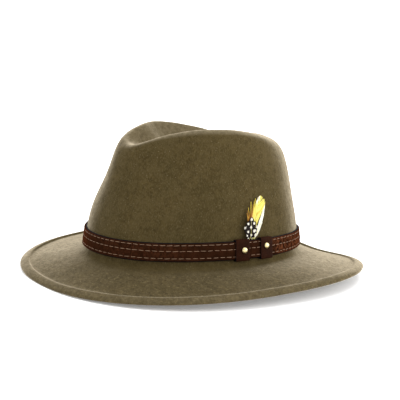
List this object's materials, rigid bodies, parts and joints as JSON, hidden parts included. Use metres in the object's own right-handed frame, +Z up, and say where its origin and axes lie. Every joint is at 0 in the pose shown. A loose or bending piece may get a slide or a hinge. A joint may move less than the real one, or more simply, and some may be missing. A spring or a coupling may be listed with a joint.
{
  "type": "felt hunting hat",
  "caption": "Felt hat with a pinched, dented crown, a rolled brim edge, a stitched leather band with riveted keepers and a feather trim.",
  "frame": {"origin": "on the surface the hat stands on, under the middle of the brim", "axes": "+Z up through the crown, -Y to the front, +X to the wearer's left"},
  "size_m": [0.294, 0.3122, 0.136],
  "materials": {
    "felt": "matt olive felt with a short nap",
    "backing_leather": "smooth dark leather with a cut edge",
    "strap_leather": "glossy reddish-brown leather, stitched",
    "keeper_leather": "smooth brown leather with painted edges",
    "rivet_brass": "polished pale brass",
    "guinea_barbs": "black-brown barbs with white dots",
    "amber_barbs": "orange-brown barbs",
    "yellow_barbs": "yellow barbs with a pale tip",
    "cream_barbs": "cream-white barbs"
  },
  "bodies": {
    "root": {"felt_body": "felt", "band_backing": "backing_leather", "band_face": "strap_leather", "keeper_front": "keeper_leather", "keeper_rear": "keeper_leather", "rivet_front": "rivet_brass", "rivet_rear": "rivet_brass", "guinea_feather": "guinea_barbs", "amber_feather": "amber_barbs", "yellow_feather": "yellow_barbs", "cream_feather": "cream_barbs"}
  },
  "joints": []
}
